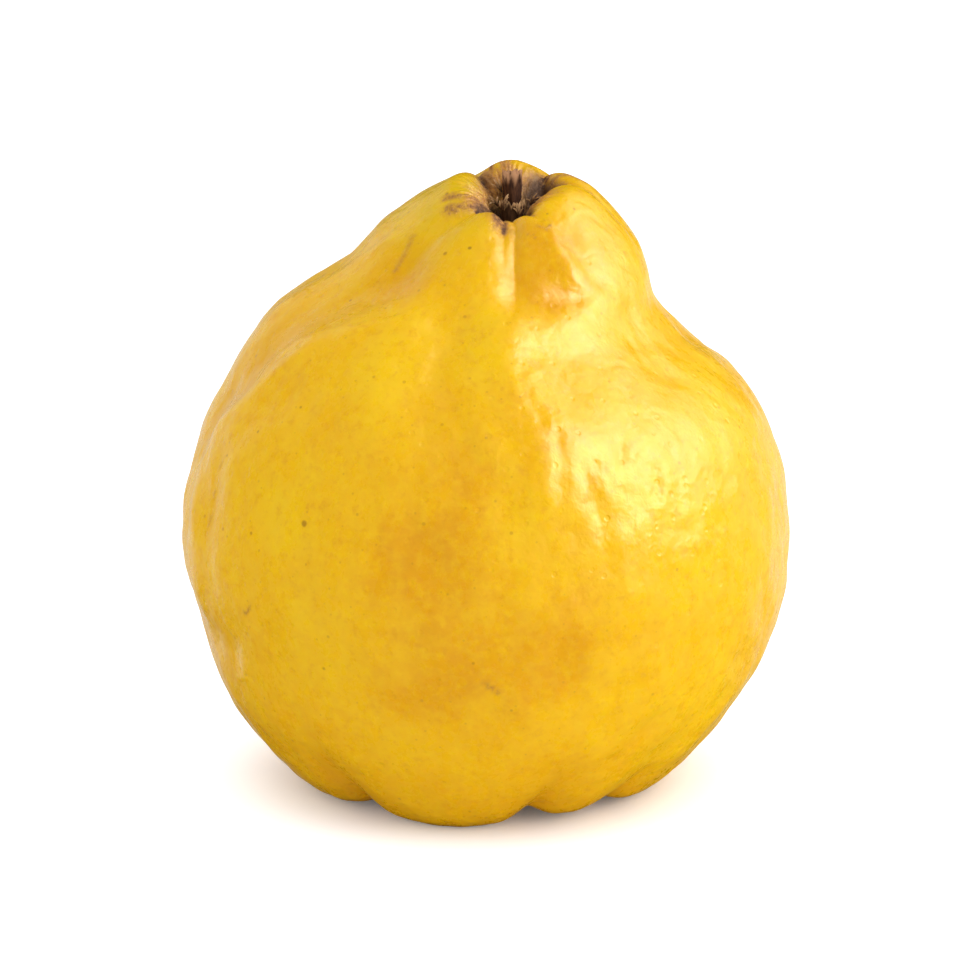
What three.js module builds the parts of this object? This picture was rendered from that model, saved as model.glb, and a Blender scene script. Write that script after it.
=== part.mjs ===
// A ripe quince, broken off its twig, standing on the lobes round its eye.
// Millimetres, +Z up, the floor at z = 0, -Y is the front, azimuth 0 is +X and 90 is +Y.
import * as THREE from 'three';

const {
  degToRad, radToDeg, lerp, clamp, smoothstep, euclideanModulo,
} = THREE.MathUtils;

// ---- The fruit's rings, from the floor of the eye underneath to the floor of the pit on top ----
// A ring is an ellipse: height, centre x, centre y, half width, half depth, lean of its front downwards.
const RINGS = [
  { name: 'eyeFloor', z: 13.5, x: 0, y: 0, halfWidth: 0, halfDepth: 0, lean: 0 },
  { name: 'eyeWall', z: 12.5, x: 0, y: 0, halfWidth: 4, halfDepth: 4, lean: 0 },
  { name: 'eyeMouth', z: 8, x: 0, y: 0, halfWidth: 8, halfDepth: 8, lean: 0 },
  { name: 'innerFoot', z: 3.5, x: 0, y: 0, halfWidth: 13, halfDepth: 13, lean: 0 },
  { name: 'foot', z: 1.4, x: 0, y: 0, halfWidth: 20.5, halfDepth: 20.5, lean: 0 },
  { name: 'outerFoot', z: 2.6, x: -0.2, y: -0.9, halfWidth: 28, halfDepth: 28.2, lean: 0 },
  { name: 'lowerFlank', z: 14.2, x: -0.1, y: -0.5, halfWidth: 38.5, halfDepth: 38.4, lean: 0 },
  { name: 'flank', z: 26, x: 0.4, y: -0.2, halfWidth: 44, halfDepth: 43.5, lean: 0 },
  { name: 'belly', z: 39, x: 0, y: 0, halfWidth: 46, halfDepth: 45.5, lean: 0 },
  { name: 'upperFlank', z: 52, x: 0, y: 0, halfWidth: 43.5, halfDepth: 43, lean: 0 },
  { name: 'shoulder', z: 61, x: 0, y: -0.3, halfWidth: 39, halfDepth: 38.5, lean: 1 },
  { name: 'slope', z: 71.5, x: -2.5, y: -0.5, halfWidth: 29.5, halfDepth: 29.5, lean: 5 },
  { name: 'waist', z: 78.5, x: 1.5, y: -0.8, halfWidth: 22, halfDepth: 22, lean: 8 },
  { name: 'neck', z: 83.5, x: 2.8, y: -1, halfWidth: 17.1, halfDepth: 16.9, lean: 11 },
  { name: 'brow', z: 88.6, x: 4, y: -1, halfWidth: 11.2, halfDepth: 11.2, lean: 14 },
  { name: 'crest', z: 90, x: 3.8, y: -1.2, halfWidth: 7.9, halfDepth: 8.2, lean: 16 },
  { name: 'pitLip', z: 87.8, x: 3.7, y: -1.3, halfWidth: 4.3, halfDepth: 4.3, lean: 17 },
  { name: 'pitWall', z: 83.8, x: 3.6, y: -1, halfWidth: 2.5, halfDepth: 2.5, lean: 15 },
  { name: 'pitFloor', z: 82, x: 3.6, y: -1, halfWidth: 0, halfDepth: 0, lean: 15 },
];
const ROW = Object.fromEntries(RINGS.map((ring, index) => [ring.name, index]));
const LAST_ROW = RINGS.length - 1;

// ---- Creases between the fleshy folds that pucker round the pit ----
// path is a line of [row, azimuth, depth, half width] up to the pit, and swell is how far the fold after it
// (counter-clockwise from above) stands out.
const PIT_CREASES = [
  {
    swell: 1.3,
    path: [
      [12, -8, 0.1, 1.5], [13.2, -2, 0.4, 1.5], [14, 2, 0.8, 1.6],
      [14.9, 15, 1.6, 1.8], [16, 24, 2, 1.6],
    ],
  },
  {
    swell: 1.6,
    path: [
      [12, 50, 0, 3], [13.4, 54, 1.4, 3], [14.6, 57, 2.6, 2.6],
      [15.6, 42, 2.6, 1.8], [16.2, 36, 2.2, 1.4],
    ],
  },
  {
    swell: 1.1,
    path: [
      [12, 126, 0, 3], [13.4, 124, 1.4, 3], [14.6, 124, 2.4, 2.2],
      [15.5, 130, 1.8, 1.6], [16, 134, 1, 1.2],
    ],
  },
  {
    swell: 1.4,
    path: [
      [12.2, 220, 0.9, 7], [13.5, 222, 1.5, 5], [14.2, 229, 1.8, 3.2],
      [15, 236, 2.6, 2.2], [16, 240, 2.2, 1.4],
    ],
  },
  {
    swell: 1.3,
    path: [
      [12.8, 271, 0, 1.2], [13.4, 267, 0.6, 1.2], [14, 263, 1.4, 1.4],
      [15, 261, 1.8, 1.2], [16, 260, 0.9, 1],
    ],
  },
  {
    swell: 1.2,
    path: [
      [12.1, 277, 0.4, 1.8], [12.6, 276, 1.1, 1.8], [13.7, 273, 1.4, 1.4],
      [14.6, 272, 1.9, 1.3], [16, 271, 0.8, 1],
    ],
  },
  {
    swell: 1.3,
    path: [
      [13.5, 293, 0, 2], [14, 291, 0.5, 1.8], [14.7, 290, 1.4, 1.6],
      [15.6, 291, 2.2, 1.5], [16.2, 291, 1.8, 1.2],
    ],
  },
];
const PIT_SOFTNESS = 0.25; // how far a crease's floor is rounded

// ---- Creases between the lobes round the eye, the same way, from the eye up to the flank ----
const EYE_CREASES = [
  { swell: 1.6, path: [[4, 20, 3, 3], [5, 20, 2.6, 3], [6.6, 22, 0, 6]] },
  { swell: 0.9, path: [[4, 68, 2.2, 3], [5, 68, 2, 3], [6.4, 66, 0, 6]] },
  { swell: 1.7, path: [[4, 118, 3, 3], [5, 118, 2.6, 3], [6.6, 122, 0, 6]] },
  { swell: 1.2, path: [[4, 175, 2.6, 3], [5, 175, 2.2, 3], [6.6, 172, 0, 6]] },
  { swell: 1.8, path: [[4, 234, 3.2, 2.4], [5, 233, 2.6, 2.4], [5.9, 232, 0.8, 5], [6.8, 232, 0, 8]] },
  { swell: 0.8, path: [[4, 284, 2.8, 2.4], [5, 284, 2.3, 2.4], [5.8, 288, 0.8, 4], [6.8, 296, 0, 8]] },
  { swell: 1, path: [[4, 312, 2, 2.2], [5, 312, 1.6, 2.2], [6.4, 320, 0, 5]] },
];
const EYE_SOFTNESS = 0.8;

// ---- Broad ridges (+) and furrows (-) down the body ----
// path is a line of [azimuth, row], halfWidth its reach to each side, height how far the skin moves.
const SEAMS = [
  {
    halfWidth: 5.5, height: -1.3,
    path: [[-140, 12.4], [-150, 11.9], [-157, 11.2], [-161, 10.5], [-168, 9.4]],
  },
  {
    halfWidth: 4.5, height: 0.35,
    path: [[-118, 11.6], [-130, 11.35], [-139, 11], [-147, 10.55], [-155, 10], [-163, 9.5]],
  },
  {
    halfWidth: 1.5, height: 0.25,
    path: [[-122, 11.5], [-136, 11.1], [-144, 10.7], [-152, 10.2], [-163, 9.5], [-170, 9]],
  },
  { halfWidth: 1.1, height: 0.15, path: [[-146, 11], [-157, 10.5], [-166, 10.1]] },
  { halfWidth: 5, height: -0.9, path: [[-100, 11.6], [-97, 10.9], [-98, 9.7]] },
  { halfWidth: 6, height: 0.35, path: [[-117, 11.3], [-114, 10.5]] },
  { halfWidth: 4.5, height: 0.8, path: [[-83, 11.4], [-78, 10.7], [-77, 10.1], [-78, 9.2]] },
  { halfWidth: 4.5, height: 0.4, path: [[-68, 9], [-64, 8]] },
  { halfWidth: 5, height: -0.6, path: [[-102, 8.4]] },
  { halfWidth: 5, height: -0.5, path: [[-78, 7.35]] },
  { halfWidth: 6, height: -0.35, path: [[-101, 6.9]] },
  { halfWidth: 3.5, height: -0.3, path: [[-61, 7.6]] },
  { halfWidth: 3, height: 0.35, path: [[-56, 6.8], [-62, 6.4], [-66, 6]] },
  { halfWidth: 2.5, height: -0.35, path: [[-54, 6.3], [-61, 5.9]] },
  { halfWidth: 3, height: 0.3, path: [[-30, 6.2], [-38, 5.7]] },
  { halfWidth: 2.2, height: -0.6, path: [[-83, 12.15], [-71, 12.05], [-60, 12.1], [-50, 12.3]] },
  { halfWidth: 4.5, height: -0.7, path: [[-74, 12.6]] },
  { halfWidth: 1.8, height: 0.5, path: [[-66, 13.7], [-60, 13], [-56, 12.4], [-49, 12.1]] },
  { halfWidth: 2.4, height: -0.4, path: [[-57, 13.7], [-51, 13.1], [-46, 12.4]] },
  { halfWidth: 4, height: 0.4, path: [[-80, 11.5], [-60, 11.5]] },
  { halfWidth: 2, height: -0.3, path: [[-31, 11.8], [-32, 10.9], [-34, 10.5]] },
  { halfWidth: 3, height: -0.5, path: [[-22, 10.7], [10, 10.5]] },
  { halfWidth: 3, height: -0.5, path: [[-171, 9.9]] },
  { halfWidth: 2.2, height: -0.35, path: [[-155, 9.3], [-152, 8.7], [-151, 8.2]] },
  { halfWidth: 2.2, height: 0.3, path: [[-163, 8.9], [-158, 8.3], [-157, 7.8], [-160, 7.1]] },
  { halfWidth: 3.5, height: -0.6, path: [[-172, 7.3], [-150, 7]] },
  { halfWidth: 5, height: -1, path: [[60, 11.6], [64, 10.2], [62, 9]] },
  { halfWidth: 5, height: 0.8, path: [[92, 11.4], [96, 9.6]] },
  { halfWidth: 5, height: -1.1, path: [[125, 11.5], [130, 10.2], [134, 9.2]] },
  { halfWidth: 6, height: 0.5, path: [[30, 9.6], [38, 8.4]] },
  { halfWidth: 7, height: -0.6, path: [[155, 8.2]] },
  { halfWidth: 7, height: -0.6, path: [[85, 7.8]] },
];

// ---- Fineness of the meshes ----
const FRUIT_ROWS_PER_RING = 3;
const FRUIT_COLUMNS = 84;
const SMALL_ROWS = 10;
const SMALL_COLUMNS = 10;
const NORMAL_STEP = 1e-3;
const LEAST_RADIUS = 2; // a crease's width is measured at this radius or more, so that poles stay calm

// ---- The broken stalk, standing in the pit and leaning back ----
const STUB = {
  x: 3.8, y: -1, z: 84.6, height: 8, radius: 1.1, topRadius: 1.5, leanBack: 12, ribs: 5, rib: 0.05, ragged: 0.3,
};
const STUB_COLUMNS = 20;
const STUB_EDGE = 1 / SMALL_ROWS; // the share of the rows that closes each end

// ---- Dry scraps of torn bark round the stalk ----
// Azimuth and distance from the stalk's foot, height of the lower end, length, width, tilt outwards at the
// lower end, and how far the scrap curls outwards (+) or inwards (-) along its length.
const SCRAPS = [
  { azimuth: -118, distance: 2.7, z: 87.3, length: 2.8, width: 1.2, tilt: 0, curl: -90 },
  { azimuth: -8, distance: 2.5, z: 87.7, length: 2.6, width: 1.1, tilt: 5, curl: 95 },
  { azimuth: -66, distance: 2.5, z: 86, length: 2.4, width: 1.4, tilt: 0, curl: -45 },
  { azimuth: -168, distance: 2.1, z: 87.5, length: 2.2, width: 1.2, tilt: 25, curl: 50 },
  { azimuth: 133, distance: 2.4, z: 89.2, length: 2.6, width: 1, tilt: 35, curl: 20 },
];
const SCRAP_THICKNESS = 0.3;
const SCRAP_TIP = 0.5; // the power that rounds a scrap's ends

// ---- The eye: five dried sepals round a dried tuft of stamens ----
const SEPAL = { azimuth: 18, distance: 2.9, z: 10.8, length: 7.4, width: 3.6, tilt: 148, curl: -42 };
const SEPAL_COUNT = 5;
const SEPAL_THICKNESS = 0.45;
const SEPAL_BROADEST = 0.6; // the power that puts a sepal's broadest place near its foot
const TUFT = { top: 12.2, length: 4.6, radius: 1.7, lobes: 5, lobe: 0.12 };

const SKIN = new THREE.MeshStandardMaterial({ color: 0xe8b414, roughness: 0.45, metalness: 0 });
const DRY_WOOD = new THREE.MeshStandardMaterial({ color: 0x4a3020, roughness: 0.9, metalness: 0 });
const DRY_BARK = new THREE.MeshStandardMaterial({ color: 0xb89468, roughness: 0.9, metalness: 0 });
const DRY_LEAF = new THREE.MeshStandardMaterial({ color: 0x6e5233, roughness: 0.9, metalness: 0 });

// A value of the rings at any row between them, on a smooth curve through all of them.
function ringValue(key, row) {
  const start = clamp(Math.floor(row), 0, LAST_ROW - 1);
  const [before, here, next, after] = [start - 1, start, start + 1, start + 2]
    .map((index) => RINGS[clamp(index, 0, LAST_ROW)][key]);
  const u = row - start;
  const cubic = 3 * (here - next) + after - before;
  const square = 2 * before - 5 * here + 4 * next - after;
  return here + 0.5 * u * (next - before + u * (square + u * cubic));
}

// The smooth fruit before its folds: a point on the leaning ellipse at this row.
function basePoint(azimuth, row) {
  const lean = degToRad(ringValue('lean', row));
  const depth = ringValue('halfDepth', row) * Math.sin(azimuth);
  return new THREE.Vector3(
    ringValue('x', row) + ringValue('halfWidth', row) * Math.cos(azimuth),
    ringValue('y', row) + depth * Math.cos(lean),
    ringValue('z', row) + depth * Math.sin(lean),
  );
}

// The outward direction there, from the two slopes of the surface.
function baseNormal(azimuth, row) {
  const around = basePoint(azimuth + NORMAL_STEP, row).sub(basePoint(azimuth - NORMAL_STEP, row));
  const above = basePoint(azimuth, Math.min(row + NORMAL_STEP, LAST_ROW));
  const along = above.sub(basePoint(azimuth, Math.max(row - NORMAL_STEP, 0)));
  return around.cross(along).normalize();
}

// 0 outside from..to, 1 between full and fade, smooth in between.
function windowOf(row, from, full, fade, to) {
  return smoothstep(row, from, full) * (1 - smoothstep(row, fade, to));
}

// A crease's azimuth, depth and half width at a row, between the points of its path.
function creaseAt(path, row) {
  const above = path.findIndex(([pathRow]) => pathRow > row);
  if (above <= 0) return path.at(above);
  const [from, to] = [path[above - 1], path[above]];
  const share = (row - from[0]) / (to[0] - from[0]);
  return from.map((value, index) => lerp(value, to[index], share));
}

// The middle of the fold after each crease, where its swell is full.
function foldMiddles(creases) {
  const starts = creases.map(({ path }) => path.at(-1)[1]);
  return starts.map((start, index) => (
    start + euclideanModulo(starts[(index + 1) % starts.length] - start, 360) / 2));
}

// The swell at an azimuth: it passes evenly from the middle of one fold to the middle of the next.
function swellAt(degrees, creases) {
  const middles = foldMiddles(creases);
  return creases.reduce((sum, { swell }, index) => {
    const next = (index + 1) % creases.length;
    const turn = euclideanModulo(degrees - middles[index], 360);
    const span = euclideanModulo(middles[next] - middles[index], 360);
    return sum + (turn < span ? lerp(swell, creases[next].swell, turn / span) : 0);
  }, 0);
}

// How far the folds lift the skin, less how deep the creases between them cut.
function crumple(azimuth, row, creases, softness) {
  const radius = Math.max(ringValue('halfWidth', row), LEAST_RADIUS);
  const degrees = radToDeg(azimuth);
  return creases.reduce((sum, { path }) => {
    const [, line, depth, halfWidth] = creaseAt(path, row);
    const turn = euclideanModulo(degrees - line, 360);
    const gap = degToRad(Math.min(turn, 360 - turn)) * radius;
    return sum - depth * Math.exp((softness - Math.hypot(gap, softness)) / halfWidth);
  }, swellAt(degrees, creases));
}

const SEAM_LINES = SEAMS.map(({ path, halfWidth, height }) => {
  const points = path.map(([azimuth, row]) => basePoint(degToRad(azimuth), row));
  const legs = points.slice(1).map((end, index) => new THREE.Line3(points[index], end));
  return { legs: legs.length ? legs : [new THREE.Line3(points[0], points[0])], halfWidth, height };
});

// How far the ridges and furrows move the skin, each a bell curve of the distance from its line.
function seamHeight(point) {
  const nearest = new THREE.Vector3();
  return SEAM_LINES.reduce((sum, { legs, halfWidth, height }) => {
    const distances = legs.map((leg) => {
      const long = leg.distanceSq() > 0;
      return (long ? leg.closestPointToPoint(point, true, nearest) : nearest.copy(leg.start)).distanceTo(point);
    });
    return sum + height * Math.exp(-((Math.min(...distances) / halfWidth) ** 2));
  }, 0);
}

// A point on the fruit's skin. What would dip under the floor is pressed flat: the spots that it rests on.
function skinPoint(azimuth, row) {
  const point = basePoint(azimuth, row);
  const nearPit = windowOf(row, ROW.slope, ROW.neck, ROW.pitLip, ROW.pitWall);
  const nearEye = windowOf(row, ROW.eyeWall, ROW.foot, ROW.outerFoot, ROW.flank);
  const move = crumple(azimuth, row, PIT_CREASES, PIT_SOFTNESS) * nearPit
    + crumple(azimuth, row, EYE_CREASES, EYE_SOFTNESS) * nearEye
    + seamHeight(point);
  point.addScaledVector(baseNormal(azimuth, row), move);
  point.z = Math.max(point.z, 0);
  return point;
}

// A closed surface from place(u, turn): u runs 0 to 1 from pole to pole, turn once round. Its faces are
// wound outwards, which the sign of the enclosed volume tells.
function closedSurface(rows, columns, place) {
  const points = [place(0, 0)];
  for (let row = 1; row < rows; row += 1) {
    for (let column = 0; column < columns; column += 1) {
      points.push(place(row / rows, 2 * Math.PI * column / columns));
    }
  }
  points.push(place(1, 0));
  const last = points.length - 1;
  const at = (row, column) => (row === 0 ? 0 : row === rows ? last : 1 + (row - 1) * columns + column % columns);
  const faces = [];
  for (let row = 0; row < rows; row += 1) {
    for (let column = 0; column < columns; column += 1) {
      const [a, b] = [at(row, column), at(row, column + 1)];
      const [c, d] = [at(row + 1, column + 1), at(row + 1, column)];
      if (row > 0) faces.push([a, b, c]);
      if (row < rows - 1) faces.push([a, c, d]);
    }
  }
  const volume = faces.reduce((sum, [a, b, c]) => sum + points[a].dot(points[b].clone().cross(points[c])), 0);
  const outward = volume > 0 ? faces : faces.map(([a, b, c]) => [a, c, b]);
  const geometry = new THREE.BufferGeometry().setFromPoints(points);
  geometry.setIndex(outward.flat());
  geometry.computeVertexNormals();
  return geometry;
}

// A dry curled strip, its foot at the origin: it leaves at tilt from +Z towards +X and bends by curl.
// Its cut across is an ellipse, and widthAt(u) is the share of its width at u along it.
function curledStrip({ length, width, tilt, curl }, thickness, widthAt) {
  const start = degToRad(tilt);
  const bend = degToRad(curl);
  const radius = length / bend;
  return closedSurface(SMALL_ROWS, SMALL_COLUMNS, (u, turn) => {
    const angle = start + bend * u;
    const share = widthAt(u);
    const across = share * thickness / 2 * Math.sin(turn);
    return new THREE.Vector3(
      radius * (Math.cos(start) - Math.cos(angle)) + across * Math.cos(angle),
      share * width / 2 * Math.cos(turn),
      radius * (Math.sin(angle) - Math.sin(start)) - across * Math.sin(angle),
    );
  });
}

// The strip's mesh, set at its azimuth and distance from the middle of its group.
function stripMesh(name, strip, thickness, widthAt, material) {
  const mesh = new THREE.Mesh(curledStrip(strip, thickness, widthAt), material);
  const azimuth = degToRad(strip.azimuth);
  mesh.name = name;
  mesh.position.set(strip.distance * Math.cos(azimuth), strip.distance * Math.sin(azimuth), strip.z);
  mesh.rotation.z = azimuth;
  return mesh;
}

function fruitMesh() {
  const geometry = closedSurface(LAST_ROW * FRUIT_ROWS_PER_RING, FRUIT_COLUMNS, (u, turn) => (
    skinPoint(turn, u * LAST_ROW)));
  const mesh = new THREE.Mesh(geometry, SKIN);
  mesh.name = 'quince_fruit';
  return mesh;
}

// A ribbed stump, wider at the break, with a ragged rim round a sunken middle.
function stubMesh() {
  const geometry = closedSurface(SMALL_ROWS, STUB_COLUMNS, (u, turn) => {
    const up = clamp((u - STUB_EDGE) / (1 - 2 * STUB_EDGE), 0, 1);
    const out = Math.min(u, 1 - u, STUB_EDGE) / STUB_EDGE;
    const radius = out * lerp(STUB.radius, STUB.topRadius, up) * (1 + STUB.rib * Math.cos(STUB.ribs * turn));
    const rim = STUB.ragged * Math.sin(2 * turn + 1) * up ** SMALL_ROWS * out;
    return new THREE.Vector3(radius * Math.cos(turn), radius * Math.sin(turn), STUB.height * up + rim);
  });
  const mesh = new THREE.Mesh(geometry, DRY_WOOD);
  mesh.name = 'stalk_stub';
  mesh.position.set(STUB.x, STUB.y, STUB.z);
  mesh.rotation.x = -degToRad(STUB.leanBack);
  return mesh;
}

function tornBark() {
  const group = new THREE.Group();
  group.position.set(STUB.x, STUB.y, 0);
  const rounded = (u) => Math.sin(Math.PI * u) ** SCRAP_TIP;
  SCRAPS.forEach((scrap, index) => {
    group.add(stripMesh(`torn_bark_${index + 1}`, scrap, SCRAP_THICKNESS, rounded, DRY_BARK));
  });
  return group;
}

function eye() {
  const group = new THREE.Group();
  const leafShaped = (u) => Math.sqrt(1 - (2 * u ** SEPAL_BROADEST - 1) ** 2);
  for (let index = 0; index < SEPAL_COUNT; index += 1) {
    const sepal = { ...SEPAL, azimuth: SEPAL.azimuth + 360 * index / SEPAL_COUNT };
    group.add(stripMesh(`sepal_${index + 1}`, sepal, SEPAL_THICKNESS, leafShaped, DRY_LEAF));
  }
  const tuft = new THREE.Mesh(closedSurface(SMALL_ROWS, STUB_COLUMNS, (u, turn) => {
    const radius = TUFT.radius * Math.sin(Math.PI * u) * (1 + TUFT.lobe * Math.cos(TUFT.lobes * turn));
    return new THREE.Vector3(radius * Math.cos(turn), radius * Math.sin(turn), TUFT.top - TUFT.length * u);
  }), DRY_WOOD);
  tuft.name = 'dried_stamens';
  group.add(tuft);
  return group;
}

// The whole quince, moved so that the origin is the middle of its footprint on the floor.
const fruit = fruitMesh();
const box = new THREE.Box3().setFromObject(fruit);
const middle = box.getCenter(new THREE.Vector3());
const pieces = new THREE.Group();
pieces.position.set(-middle.x, -middle.y, -box.min.z);
pieces.add(fruit, stubMesh(), tornBark(), eye());

const quince = new THREE.Group();
quince.add(pieces);

export default quince;
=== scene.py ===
"""A ripe quince, standing on the lobes round its eye, with a broken stalk in the puckered pit on top.

Shapes are worked out in millimetres and scaled to metres when they become meshes. +Z is up, -Y is the front,
azimuth 0 is +X and 90 is +Y. A row is a place along a meridian, from the floor of the eye to the floor of
the pit.
"""

import math

import bpy
import numpy as np
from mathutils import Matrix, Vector


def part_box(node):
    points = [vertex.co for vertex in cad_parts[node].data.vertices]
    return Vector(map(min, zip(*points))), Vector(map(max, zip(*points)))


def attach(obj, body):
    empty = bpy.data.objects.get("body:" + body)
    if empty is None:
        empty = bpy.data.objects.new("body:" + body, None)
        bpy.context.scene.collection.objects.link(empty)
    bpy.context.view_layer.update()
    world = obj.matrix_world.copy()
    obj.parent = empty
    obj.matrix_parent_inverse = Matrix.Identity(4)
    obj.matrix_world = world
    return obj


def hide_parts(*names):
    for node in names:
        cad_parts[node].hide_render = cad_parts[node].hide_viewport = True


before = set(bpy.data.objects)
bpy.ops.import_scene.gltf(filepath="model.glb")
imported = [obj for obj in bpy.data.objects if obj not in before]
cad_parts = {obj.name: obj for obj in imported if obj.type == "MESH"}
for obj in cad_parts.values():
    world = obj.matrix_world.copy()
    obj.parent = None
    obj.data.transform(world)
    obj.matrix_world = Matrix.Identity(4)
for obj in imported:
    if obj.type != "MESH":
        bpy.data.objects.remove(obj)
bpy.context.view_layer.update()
MM = 0.001
TINY = 1e-12  # stands in for a length of nothing that something is divided by

# ---------------- the fruit's shape

# height, centre x, centre y, half width, half depth, lean of the front downwards in degrees
RINGS = {
    "eye_floor": (13.5, 0, 0, 0, 0, 0),
    "eye_wall": (12.5, 0, 0, 4, 4, 0),
    "eye_mouth": (8, 0, 0, 8, 8, 0),
    "inner_foot": (3.5, 0, 0, 13, 13, 0),
    "foot": (1.4, 0, 0, 20.5, 20.5, 0),
    "outer_foot": (2.6, -0.2, -0.9, 28, 28.2, 0),
    "lower_flank": (14.2, -0.1, -0.5, 38.5, 38.4, 0),
    "flank": (26, 0.4, -0.2, 44, 43.5, 0),
    "belly": (39, 0, 0, 46, 45.5, 0),
    "upper_flank": (52, 0, 0, 43.5, 43, 0),
    "shoulder": (61, 0, -0.3, 39, 38.5, 1),
    "slope": (71.5, -2.5, -0.5, 29.5, 29.5, 5),
    "waist": (78.5, 1.5, -0.8, 22, 22, 8),
    "neck": (83.5, 2.8, -1, 17.1, 16.9, 11),
    "brow": (88.6, 4, -1, 11.2, 11.2, 14),
    "crest": (90.0, 3.8, -1.2, 7.9, 8.2, 16),
    "pit_lip": (87.8, 3.7, -1.3, 4.3, 4.3, 17),
    "pit_wall": (83.8, 3.6, -1.0, 2.5, 2.5, 15),
    "pit_floor": (82.0, 3.6, -1.0, 0, 0, 15),
}
RING_TABLE = np.array(list(RINGS.values()), float)
HEIGHT, CENTRE_X, CENTRE_Y, HALF_WIDTH, HALF_DEPTH, LEAN = range(RING_TABLE.shape[1])
ROW = {name: row for row, name in enumerate(RINGS)}
LAST_ROW = len(RINGS) - 1
# how many rows of faces lie between each ring and the next, close where the skin is folded
ROWS_BETWEEN = (5, 6, 8, 10, 12, 20, 17, 17, 17, 14, 20, 18, 14, 16, 14, 12, 8, 4)
FRUIT_COLUMNS = 420

# creases, anticlockwise from above: how far the fold after it swells, and its path as row, azimuth, depth and
# half width
PIT_CREASES = (
    (1.3, ((12.0, -8, 0.1, 1.5), (13.2, -2, 0.4, 1.5), (14.0, 2, 0.8, 1.6), (14.9, 15, 1.6, 1.8),
           (16.0, 24, 2.0, 1.6))),
    (1.6, ((12.0, 50, 0.0, 3.0), (13.4, 54, 1.4, 3.0), (14.6, 57, 2.6, 2.6), (15.6, 42, 2.6, 1.8),
           (16.2, 36, 2.2, 1.4))),
    (1.1, ((12.0, 126, 0.0, 3.0), (13.4, 124, 1.4, 3.0), (14.6, 124, 2.4, 2.2), (15.5, 130, 1.8, 1.6),
           (16.0, 134, 1.0, 1.2))),
    (1.4, ((12.2, 220, 0.9, 7.0), (13.5, 222, 1.5, 5.0), (14.2, 229, 1.8, 3.2), (15.0, 236, 2.6, 2.2),
           (16.0, 240, 2.2, 1.4))),
    (1.3, ((12.8, 271, 0.0, 1.2), (13.4, 267, 0.6, 1.2), (14.0, 263, 1.4, 1.4), (15.0, 261, 1.8, 1.2),
           (16.0, 260, 0.9, 1.0))),
    (1.2, ((12.1, 277, 0.4, 1.8), (12.6, 276, 1.1, 1.8), (13.7, 273, 1.4, 1.4), (14.6, 272, 1.9, 1.3),
           (16.0, 271, 0.8, 1.0))),
    (1.3, ((13.5, 293, 0.0, 2.0), (14.0, 291, 0.5, 1.8), (14.7, 290, 1.4, 1.6), (15.6, 291, 2.2, 1.5),
           (16.2, 291, 1.8, 1.2))),
)
PIT_SOFTNESS = 0.25
EYE_CREASES = (
    (1.6, ((4.0, 20, 3.0, 3.0), (5.0, 20, 2.6, 3.0), (6.6, 22, 0.0, 6.0))),
    (0.9, ((4.0, 68, 2.2, 3.0), (5.0, 68, 2.0, 3.0), (6.4, 66, 0.0, 6.0))),
    (1.7, ((4.0, 118, 3.0, 3.0), (5.0, 118, 2.6, 3.0), (6.6, 122, 0.0, 6.0))),
    (1.2, ((4.0, 175, 2.6, 3.0), (5.0, 175, 2.2, 3.0), (6.6, 172, 0.0, 6.0))),
    (1.8, ((4.0, 234, 3.2, 2.4), (5.0, 233, 2.6, 2.4), (5.9, 232, 0.8, 5.0), (6.8, 232, 0.0, 8.0))),
    (0.8, ((4.0, 284, 2.8, 2.4), (5.0, 284, 2.3, 2.4), (5.8, 288, 0.8, 4.0), (6.8, 296, 0.0, 8.0))),
    (1.0, ((4.0, 312, 2.0, 2.2), (5.0, 312, 1.6, 2.2), (6.4, 320, 0.0, 5.0))),
)
EYE_SOFTNESS = 0.8
LEAST_RADIUS = 2.0

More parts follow.
